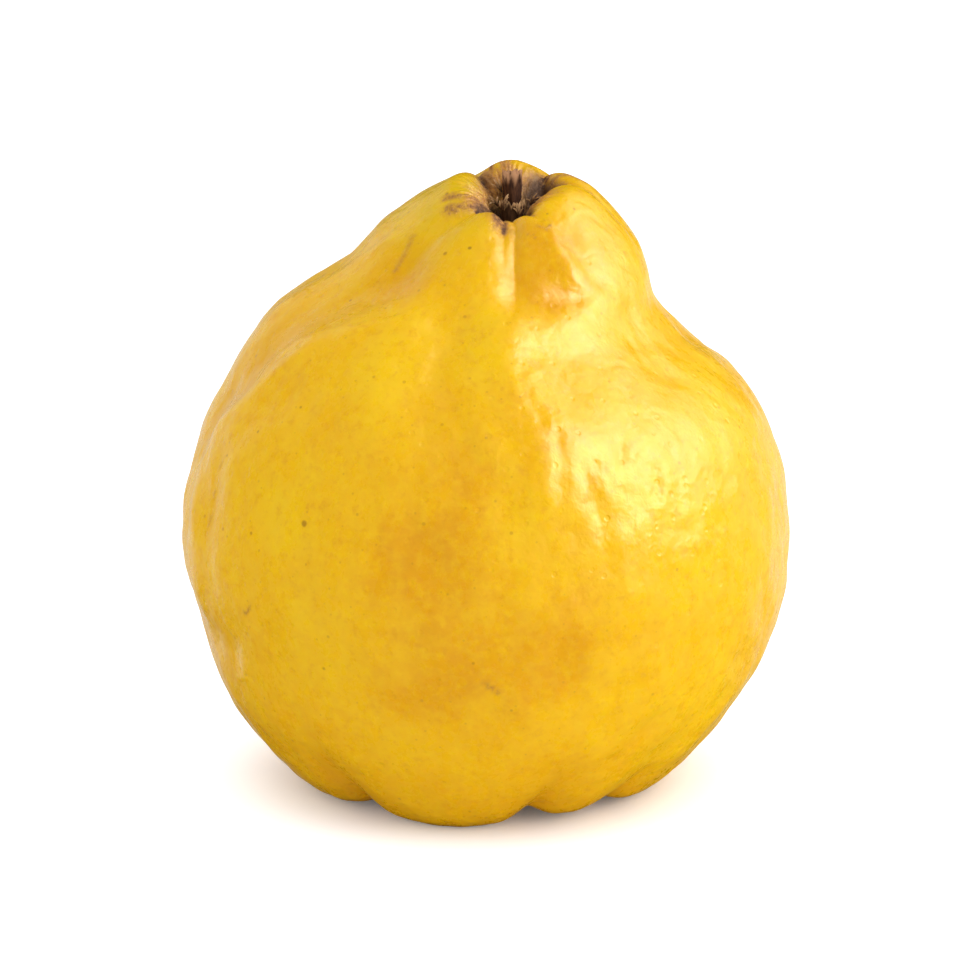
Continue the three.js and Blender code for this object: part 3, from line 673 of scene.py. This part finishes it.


# dry finishes: dark, light and torn colour, size of the fibres in mm, and how dark the painted shade below
# the torn part is
DRY_FINISHES = {
    "dry_wood": (rgb(0.026, 0.009, 0.004), rgb(0.16, 0.062, 0.024), rgb(0.50, 0.26, 0.13), 0.35, 0.45),
    "dry_bark": (rgb(0.055, 0.022, 0.009), rgb(0.48, 0.26, 0.11), rgb(0.70, 0.42, 0.20), 0.3, 0.85),
    "dry_leaf": (rgb(0.06, 0.032, 0.016), rgb(0.24, 0.14, 0.07), rgb(0.34, 0.22, 0.12), 0.6, 0.2),
}
FIBRES = {"detail": 4, "roughness": 0.7}
FIBRE_HEIGHT = 0.15
DRY_ROUGHNESS = 0.85


def dry_material(name, dark, light, torn, size_mm, painted_shade):
    """A dry, matt, fibrous finish between two colours, paler where it is torn, with painted shade below that.
    """
    s = Shader(name)
    fibres = s.noise(size_mm, place=s.attribute("grain", "Vector"), **FIBRES)
    color = s.mix(s.step(fibres, 0.35, 0.65), dark, light)
    color = s.mix(s.step(s.attribute("torn"), 0.0, 0.25, painted_shade, 0.0), color, dark)
    color = s.mix(s.math("MULTIPLY", s.attribute("torn"), s.step(fibres, 0.3, 0.5)), color, torn)
    return s.finish(color, DRY_ROUGHNESS, s.bump(fibres, FIBRE_HEIGHT), IOR=1.15)


# ---------------- the fruit

# depth in mm at which a crease round the eye, a crease round the pit or a furrow has its full painted shade
HOLLOW_SHADE_DEPTHS = {"eye": 1.5, "pit": 3, "furrow": 1.6}
RUSSET_EDGE = (0.7, 0.9)  # rows before and after its own row over which russet sets in
EYE_RUSSET, EYE_RUSSET_ROWS = 0.6, (0.8, 2.6)  # how russet the eye is, and the rows over which that ends
RUSSET_STREAKS = (0.35, 0.9)  # the share of russet between streaks, and what a streak adds
SMEAR_STREAKS, SMEAR_ROWS = 0.6, (12, 14)  # how much streaks take of a smear, and where that sets in
# painted shade of a deep crease round the pit: how dark, the depth in mm that counts as deep, and where it
# sets in
CREASE_SHADE, CREASE_DEPTH, CREASE_SHADE_ROWS = 0.85, 1.8, (14.7, 15.6)
# painted shade at the floor of the pit
PIT_SHADE_ROWS = (16.2, 16.9)  # where the dark of the pit sets in
SATIN_ROWS = (11.6, 12.8)  # where the neck's gloss sets in
# olive under the pit: its most, the azimuth where it is strongest, and its mean and its swing round the neck
OLIVE_SHARE, OLIVE_AZIMUTH, OLIVE_SIDES = 0.5, 150, (0.6, 0.4)


def fruit_rows():
    """Rows of the grid, with each stretch between rings divided evenly."""
    parts = [np.arange(count) / count + ring for ring, count in enumerate(ROWS_BETWEEN)]
    return np.append(np.concatenate(parts), LAST_ROW)


def box_foot(low, high):
    """The middle of a box's lowest side."""
    return np.array([(low[0] + high[0]) / 2, (low[1] + high[1]) / 2, low[2]])


azimuths = np.arange(FRUIT_COLUMNS) * 2 * np.pi / FRUIT_COLUMNS
grid_azimuth, grid_row = np.meshgrid(azimuths, fruit_rows())
skin_points, pit_cut, eye_cut, seams = skin(grid_azimuth, grid_row)
skin_box = skin_points.reshape(-1, 3).min(0), skin_points.reshape(-1, 3).max(0)
OFFSET = box_foot(*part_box("quince_fruit")) - box_foot(*skin_box) * MM


def fruit_attributes():
    """Painted shade of hollows and pit; tints and smears, partly painted shade; russet, olive, satin; grain
    place.

    Each comes from a vertex's place among the rings and from how deep its creases and furrows are.
    """
    row, degrees = grid_row, np.degrees(grid_azimuth)
    smooth = base_skin(grid_azimuth, row)
    hollow_shade = eye_cut / HOLLOW_SHADE_DEPTHS["eye"] + pit_cut / HOLLOW_SHADE_DEPTHS["pit"] - seams / HOLLOW_SHADE_DEPTHS["furrow"]
    warmth_and_shade = sum(amount * near_path(smooth, [place], radius) for *place, radius, amount in TINTS_AND_SHADE)
    streak = 0.5 + 0.5 * radial_streaks(grid_azimuth, row, SEEDS["russet"])
    start = np.interp(degrees, *np.array(RUSSET_FROM).T, period=360)
    round_pit = ramp(row, start - RUSSET_EDGE[0], start + RUSSET_EDGE[1])
    bare = np.maximum(round_pit, EYE_RUSSET - EYE_RUSSET * ramp(row, *EYE_RUSSET_ROWS))
    russet = bare * (RUSSET_STREAKS[0] + RUSSET_STREAKS[1] * streak)
    lines = [darkness * near_path(smooth, path, half_width) for path, half_width, darkness in RUSSET_LINES]
    smear_and_shade = np.max(lines, axis=0) * (1 - SMEAR_STREAKS * ramp(row, *SMEAR_ROWS) * (1 - streak))
    crease_shade = CREASE_SHADE * np.clip(pit_cut / CREASE_DEPTH, 0, 1) ** 2 * ramp(row, *CREASE_SHADE_ROWS)
    side = OLIVE_SIDES[0] + OLIVE_SIDES[1] * np.cos(np.radians(degrees - OLIVE_AZIMUTH))
    return {
        "hollow_shade": np.clip(hollow_shade, 0, 1), "warmth_and_shade": warmth_and_shade, "russet": np.clip(russet, 0, 1), "smear_and_shade": smear_and_shade,
        "olive": OLIVE_SHARE * ramp(row, ROW["waist"], ROW["brow"]) * side,
        # painted shade of the pit and of its deep creases
        "satin": ramp(row, *SATIN_ROWS), "pit": np.maximum(ramp(row, *PIT_SHADE_ROWS), crease_shade),
        "grain": grain_place(grid_azimuth, row) * MM,
    }


fruit = closed_mesh("quince_skin", skin_points + OFFSET / MM, skin_material(), fruit_attributes())
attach(fruit, "root")
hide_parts("quince_fruit")

# ---------------- the dry pieces

STUB = {"height": 8, "foot": 1.1, "top": 1.5, "lean": 12, "ribs": 5}
STUB_END = 0.1  # share of its rows that closes each end
STUB_RIB = 0.05  # how far a rib stands out, as a share of the radius
STUB_LUMPS = ((0.13, 0.5, SEEDS["bark"]), (0.16, 1.1, SEEDS["bark_lumps"]))  # share of the radius, size, seed
STUB_STRETCH = 1.5  # the radii that its height counts as among the lumps, which draws them out along it
# its break: how far splinters stand up and down, their size, how far its middle is sunken, and the power of
# the height by which it sets in
BREAK = {"ragged": 0.8, "splinter": 0.35, "sunken": 0.7, "power": 8}
TORN_NOISE, TORN_NOISE_SIZE, TORN_HEIGHTS = 0.12, 0.5, (0.72, 0.95)  # the torn part, in shares of the height
COLLAR = {"height": 3.5, "foot": 1.4, "top": 1.9, "thin": 0.82, "lift": 0.1}
COLLAR_OUTSIDE = 0.6  # share of its rows that goes up the outside
COLLAR_FOOT = 0.15  # share of those that closes the foot, and of the inner ones that thins the rim
COLLAR_SUNKEN = 0.8  # share of its height that the inside goes down again
COLLAR_LUMPS, COLLAR_LUMP_SIZE = 0.12, 0.45
COLLAR_RAGGED, COLLAR_RAG_SIZE = 1.2, 0.3
WOOD_GRID = (60, 72)  # rows and columns of the stub and of its collar
STRIP_GRID = (28, 20)
STRIP_NOISE = {"fray_size": 0.6, "warp": 0.12, "warp_size": 1.6}
FIBRE_LENGTH = 8  # how many times as long as wide the fibres are
SCRAP = {"thickness": 0.2, "fray": 0.8, "cup": 0.3}
# the strands of a scrap: turn from its middle, shares of its length, width and bend
STRANDS = ((0, 1.0, 0.45, 1.0), (30, 0.85, 0.35, 1.8), (-28, 0.95, 0.4, 0.5), (52, 0.7, 0.3, -1.0))
# azimuth round the stub, length, width, tilt outwards at the foot, and bend along it
SCRAPS = (
    (-118, 2.8, 1.2, 0, -90),
    (-8, 2.6, 1.1, 5, 95),
    (-66, 2.4, 1.4, 0, -45),
    (-168, 2.2, 1.2, 25, 50),
    (133, 2.6, 1.0, 35, 20),
)
SEPAL = {
    "azimuth": 18, "count": 5, "length": 7.4, "width": 3.6, "thickness": 0.4, "tilt": 148, "bend": -42,
    "fray": 0.1, "cup": 0.1,
}
STAMENS = {"count": 20, "rows": 14, "columns": 8, "top": 12.2, "length": 4.6, "radius": 1.75, "thick": 0.16}
GOLDEN_ANGLE = 137.5
STAMEN_CHANCE = {"azimuth": 12, "swirl": 40, "least_reach": 0.75}
# how a thread swings out and in again: its spread at the foot, its gain, and how much of half a wave it is
STAMEN_SWING = (0.45, 0.55, 0.7)
# the knob near its tip: how much thicker, and as shares of the thread, where it is and half its length
KNOB = {"swell": 0.9, "middle": 0.93, "half": 0.05}


def pole_grid(rows, columns):
    """Share of the way from pole to pole, and the turn round, at each point of a closed grid."""
    return np.meshgrid(np.linspace(0, 1, rows), np.arange(columns) * 2 * np.pi / columns, indexing="ij")


def turned(points, azimuth):
    """The points turned about +Z."""
    cosine, sine = math.cos(math.radians(azimuth)), math.sin(math.radians(azimuth))
    return points @ np.array([[cosine, sine, 0], [-sine, cosine, 0], [0, 0, 1]])


def settled(points, node):
    """The points moved so that the middle of their box is the middle of the node's box."""
    flat = points.reshape(-1, 3)
    low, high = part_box(node)
    return points + (np.array(low) + np.array(high)) / 2 / MM - (flat.min(0) + flat.max(0)) / 2


def curled_strip(length, width, thickness, tilt, bend, outline, fray, cup, seed):
    """A thin dry strip that leaves the origin at tilt from +Z towards +X and bends evenly along its length.

    Its cut across is a flat ellipse, the outline's share of its width. Noise frays its edges, the cup curls
    them over, and slow noise warps it. Also how fibres run in it, and how torn it is towards its tip.
    """
    along, turn = pole_grid(*STRIP_GRID)
    place = np.stack([along * length, np.cos(turn), np.full_like(turn, seed)], axis=-1)
    share = outline(along)
    frayed = 1 + fray * gradient_noise(place, STRIP_NOISE["fray_size"], seed)
    side = share * width / 2 * np.cos(turn) * frayed
    warp = STRIP_NOISE["warp"] * width * gradient_noise(place, STRIP_NOISE["warp_size"], seed + 1) * share
    across = share * thickness / 2 * np.sin(turn) + warp - cup * share * side ** 2 / width
    start = math.radians(tilt)
    angle = start + math.radians(bend) * along
    radius = length / math.radians(bend)
    points = np.stack([
        radius * (math.cos(start) - np.cos(angle)) + across * np.cos(angle),
        side,
        radius * (np.sin(angle) - math.sin(start)) - across * np.sin(angle),
    ], axis=-1)
    fibres = np.stack([side, across, along * length / FIBRE_LENGTH + seed], axis=-1) * MM
    return points, fibres, along ** 3


def scrap_outline(along):
    """The root of half a sine wave: blunt at both ends."""
    return np.sin(np.pi * along) ** 0.5


def frayed_scrap(index, azimuth, length, width, tilt, bend):
    """A scrap of bark torn into strands that share a foot."""
    first_seed = SEEDS["scraps"] + len(STRANDS) * index
    strands = [
        curled_strip(length * long, width * wide, SCRAP["thickness"], tilt, bend * curl, scrap_outline,
                     SCRAP["fray"], SCRAP["cup"], first_seed + number)
        for number, (_, long, wide, curl) in enumerate(STRANDS)
    ]
    points, fibres, torn = zip(*strands)
    points = [turned(strand, azimuth + turn) for strand, (turn, *_) in zip(points, STRANDS)]
    return np.stack(points), np.stack(fibres), np.stack(torn)


def sepal_outline(along):
    """Half an ellipse over the length to the power 0.6, which puts the widest part near the foot."""
    return np.sqrt(np.clip(1 - (2 * along ** 0.6 - 1) ** 2, 0, 1))


def stub_grid():
    """A ribbed stump, wider at the break, its rim splintered round a sunken middle, leaning back."""
    along, turn = pole_grid(*WOOD_GRID)
    up = np.clip((along - STUB_END) / (1 - 2 * STUB_END), 0, 1)
    out = np.minimum(np.minimum(along, 1 - along), STUB_END) / STUB_END
    place = np.stack([np.cos(turn), np.sin(turn), up * STUB_STRETCH], axis=-1)
    bark = 1 + STUB_RIB * np.cos(STUB["ribs"] * turn)
    for share, size, seed in STUB_LUMPS:
        bark += share * gradient_noise(place, size, seed)
    radius = out * (STUB["foot"] + (STUB["top"] - STUB["foot"]) * up) * bark
    rim = place * [1, 1, 0] * np.maximum(out, 0.3)[..., None]
    splinters = gradient_noise(rim, BREAK["splinter"], SEEDS["splinters"])
    broken = up ** BREAK["power"]
    height = STUB["height"] * up + BREAK["ragged"] * splinters * broken - BREAK["sunken"] * (1 - out) * broken
    lean = math.radians(STUB["lean"])
    y = radius * np.sin(turn)
    points = np.stack([
        radius * np.cos(turn),
        y * math.cos(lean) + height * math.sin(lean),
        height * math.cos(lean) - y * math.sin(lean),
    ], axis=-1)
    fibres = np.stack([np.cos(turn), np.sin(turn), height / FIBRE_LENGTH], axis=-1) * MM
    uneven = TORN_NOISE * gradient_noise(place, TORN_NOISE_SIZE, SEEDS["torn_stub"])
    return points, fibres, ramp(up + uneven, *TORN_HEIGHTS)


def bark_collar():
    """Torn bark that still clasps the stub's foot: a thin cup with a ragged rim, sunken to near its foot."""
    along, turn = pole_grid(*WOOD_GRID)
    outside = np.clip(along / COLLAR_OUTSIDE, 0, 1)
    inside = np.clip((along - COLLAR_OUTSIDE) / (1 - COLLAR_OUTSIDE), 0, 1)
    up = ramp(outside, COLLAR_FOOT, 1.0) * (1 - COLLAR_SUNKEN * inside)
    out = np.clip(outside / COLLAR_FOOT, 0, 1) * (1 - inside ** 3)
    place = np.stack([np.cos(turn), np.sin(turn), up], axis=-1)
    lumps = 1 + COLLAR_LUMPS * gradient_noise(place, COLLAR_LUMP_SIZE, SEEDS["collar"])
    wide = (COLLAR["foot"] + (COLLAR["top"] - COLLAR["foot"]) * up) * lumps
    radius = out * wide * (1 - (1 - COLLAR["thin"]) * ramp(inside, 0, COLLAR_FOOT))
    ragged = COLLAR_RAGGED * gradient_noise(place * [1, 1, 0], COLLAR_RAG_SIZE, SEEDS["collar_rim"])
    height = (COLLAR["height"] + ragged) * up
    points = np.stack([radius * np.cos(turn), radius * np.sin(turn), height], axis=-1)
    fibres = np.stack([np.cos(turn), np.sin(turn), height / FIBRE_LENGTH], axis=-1) * MM
    return points, fibres, ramp(up, 0.8, 1.0)


def stamens():
    """A tuft of dried threads hanging in the eye, each a tapering tube with a knob at its tip.

    They stand at golden angles, spread evenly over a disc, and swirl as they go down.
    """
    chance = np.random.default_rng(SEEDS["stamens"])
    count = STAMENS["count"]
    number = np.arange(count)
    along, turn = pole_grid(STAMENS["rows"], STAMENS["columns"])
    jitter, swing = STAMEN_CHANCE["azimuth"], STAMEN_CHANCE["swirl"]
    azimuth = (number * GOLDEN_ANGLE + chance.uniform(-jitter, jitter, count))[:, None, None]
    outward = np.sqrt((number + 0.5) / count)[:, None, None]
    reach = chance.uniform(STAMEN_CHANCE["least_reach"], 1.0, count)[:, None, None]
    swirl = chance.uniform(-swing, swing, count)[:, None, None]
    direction = np.radians(azimuth + swirl * along ** 2)
    least, gain, wave = STAMEN_SWING
    spread = STAMENS["radius"] * outward * (least + gain * np.sin(np.pi * along * wave))
    knob = 1 + KNOB["swell"] * np.exp(-((along - KNOB["middle"]) / KNOB["half"]) ** 2)
    thick = STAMENS["thick"] * knob * np.sqrt(np.clip(1 - (2 * along - 1) ** 8, 0, 1))
    points = np.stack(np.broadcast_arrays(
        spread * np.cos(direction) + thick * np.cos(turn),
        spread * np.sin(direction) + thick * np.sin(turn),
        STAMENS["top"] - STAMENS["length"] * reach * along,
    ), axis=-1)
    fibres = points * np.array([1, 1, 1 / FIBRE_LENGTH]) * MM
    return points, fibres, np.broadcast_to(along ** 6, points.shape[:-1])


DRY_MATERIALS = {name: dry_material(name, *finish) for name, finish in DRY_FINISHES.items()}


def place_dry(name, shape, slot, node, at=None):
    """A dry piece in place of its node: the middles of their boxes together, or its foot at a point."""
    points, fibres, torn = shape
    points = settled(points, node) if at is None else points + at
    piece = closed_mesh(name, points, DRY_MATERIALS[slot], {"grain": fibres, "torn": torn})
    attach(piece, "root")
    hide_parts(node)


place_dry("broken_stalk", stub_grid(), "dry_wood", "stalk_stub")
low, high = (np.array(corner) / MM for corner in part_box("stalk_stub"))
collar_foot = np.array([(low[0] + high[0]) / 2, low[1] + STUB["foot"], low[2] + COLLAR["lift"]])
place_dry("bark_collar", bark_collar(), "dry_bark", "stalk_stub", collar_foot)
for index, scrap in enumerate(SCRAPS, 1):
    place_dry(f"bark_scrap_{index}", frayed_scrap(index, *scrap), "dry_bark", f"torn_bark_{index}")
for index in range(1, SEPAL["count"] + 1):
    points, fibres, torn = curled_strip(
        SEPAL["length"], SEPAL["width"], SEPAL["thickness"], SEPAL["tilt"], SEPAL["bend"], sepal_outline,
        SEPAL["fray"], SEPAL["cup"], SEEDS["sepals"] + index)
    azimuth = SEPAL["azimuth"] + 360 * (index - 1) / SEPAL["count"]
    sepal = turned(points, azimuth), fibres, torn
    place_dry(f"dried_sepal_{index}", sepal, "dry_leaf", f"sepal_{index}")
place_dry("stamen_tuft", stamens(), "dry_wood", "dried_stamens")

# ---------------- floor, light and camera

WHITE = rgb(1, 1, 1)
FLOOR_WHITE = rgb(0.90, 0.92, 0.99)
FLOOR_HALF = 4.0
FLOOR_CORNERS = ((-1, -1), (1, -1), (1, 1), (-1, 1))
# the floor's glow: the distances in metres from the fruit's middle over which it rises, from what, to what
# this glow is painted light: it whitens the floor away from the fruit, so the shadow stays close to it
FLOOR_GLOW = (0.018, 0.05, 0.05, 0.6)


def pale_floor():
    """A matt white floor with painted light: the camera sees it glow a little away from the fruit."""
    pale = Shader("pale_floor")
    apart = pale.add("ShaderNodeVectorMath", {0: pale.place}, operation="LENGTH").outputs["Value"]
    seen = pale.add("ShaderNodeLightPath").outputs["Is Camera Ray"]
    glow = pale.math("MULTIPLY", seen, pale.step(apart, *FLOOR_GLOW))
    pale.set(pale.principled.inputs["Emission Strength"], glow)
    return pale.finish(FLOOR_WHITE, 0.9, IOR=1.2, Emission_Color=WHITE)


floor_mesh = bpy.data.meshes.new("floor")
floor_mesh.from_pydata([(x * FLOOR_HALF, y * FLOOR_HALF, 0) for x, y in FLOOR_CORNERS], [], [(0, 1, 2, 3)])
floor_mesh.materials.append(pale_floor())
floor = bpy.data.objects.new("floor", floor_mesh)
bpy.context.collection.objects.link(floor)
floor.visible_glossy = False

ROOM_LIGHT, MIRRORED_FRONT, MIRRORED_BACK = 0.88, 0.01, 0.9
# where the room that the skin mirrors is pale: an axis, and the parts of a direction along it between which
# the light sets in
MIRRORED = {
    "behind": ("Y", 0.1, 0.8),
    "below_ceiling": ("Z", 0.15, -0.05), "above_floor": ("Z", -0.5, -0.3),
    "left": ("X", -0.2, -0.5), "left_above_floor": ("Z", -0.4, -0.2),
}


def room():
    """A white studio. The skin mirrors it pale behind, near the horizon and to the left, dim elsewhere."""
    world = bpy.data.worlds.new("studio")
    nodes = Nodes(world)
    direction = nodes.add("ShaderNodeSeparateXYZ", {0: nodes.add("ShaderNodeTexCoord").outputs["Generated"]})
    path = nodes.add("ShaderNodeLightPath")
    lit = {name: nodes.step(direction.outputs[axis], *edge) for name, (axis, *edge) in MIRRORED.items()}
    level = nodes.math("MULTIPLY", lit["below_ceiling"], lit["above_floor"])
    left = nodes.math("MULTIPLY", lit["left"], lit["left_above_floor"])
    back = nodes.math("MULTIPLY", lit["behind"], nodes.math("MAXIMUM", level, left))
    mirrored = nodes.math("MULTIPLY_ADD", back, MIRRORED_BACK - MIRRORED_FRONT, MIRRORED_FRONT)
    unseen = nodes.add("ShaderNodeMix", {0: path.outputs["Is Glossy Ray"], 2: ROOM_LIGHT, 3: mirrored})
    strength = nodes.add("ShaderNodeMix", {0: path.outputs["Is Camera Ray"], 2: unseen.outputs[0], 3: 1.0})
    background = nodes.tree.nodes["Background"]
    nodes.set(background.inputs["Color"], WHITE)
    nodes.set(background.inputs["Strength"], strength.outputs[0])
    bpy.context.scene.world = world


# lamps: place, width and height in metres, brightness
KEY = ((0.41, -0.135, 0.25), 0.60, 0.55, 1.3)
FILL = ((-0.34, 0.0, 0.46), 0.40, 0.40, 0.38)
# the lamp that the skin mirrors: panels with one front edge, whose back edges lie further and further away
GLOSS_RIGHT, GLOSS_FRONT = 0.40, -0.35
# of each panel: its back edge, how high its middle stands, its height and its brightness
GLOSS_STEPS = (
    (-0.08, 0.35, 0.42, 6.0),
    (0.10, 0.35, 0.48, 3.8),
    (0.26, 0.36, 0.58, 2.0),
    (0.44, 0.38, 0.66, 0.9),
)
LAMPS_AIM = Vector((0, 0, 0.05))


def softbox(name, place, width, height, brightness, glossy=False):
    """A soft lamp facing the middle of the fruit; its power in watts is brightness * pi * area."""
    light = bpy.data.lights.new(name, "AREA")
    light.shape = "RECTANGLE"
    light.size, light.size_y = width, height
    light.energy = brightness * math.pi * width * height
    lamp = bpy.data.objects.new(name, light)
    bpy.context.collection.objects.link(lamp)
    lamp.location = place
    lamp.rotation_euler = (LAMPS_AIM - Vector(place)).to_track_quat("-Z", "Y").to_euler()
    lamp.visible_diffuse = not glossy
    lamp.visible_glossy = glossy


room()
softbox("key", *KEY)
softbox("fill", *FILL)
for number, (back, up, height, brightness) in enumerate(GLOSS_STEPS, 1):
    width = back - GLOSS_FRONT
    place = (GLOSS_RIGHT, GLOSS_FRONT + width / 2, up)
    softbox(f"gloss_{number}", place, width, height, brightness, glossy=True)

ELEVATION = math.radians(13)
LENS, SENSOR, DISTANCE = 110, 36, 0.4537
TARGET = Vector((0.0006, 0, 0.0441))
camera_data = bpy.data.cameras.new("camera")
camera_data.lens = LENS
camera_data.sensor_width = SENSOR
camera = bpy.data.objects.new("camera", camera_data)
bpy.context.collection.objects.link(camera)
away = Vector((0, -math.cos(ELEVATION), math.sin(ELEVATION)))
camera.location = TARGET + away * DISTANCE
camera.rotation_euler = (-away).to_track_quat("-Z", "Y").to_euler()
bpy.context.scene.camera = camera
bpy.context.scene.view_settings.view_transform = "Standard"
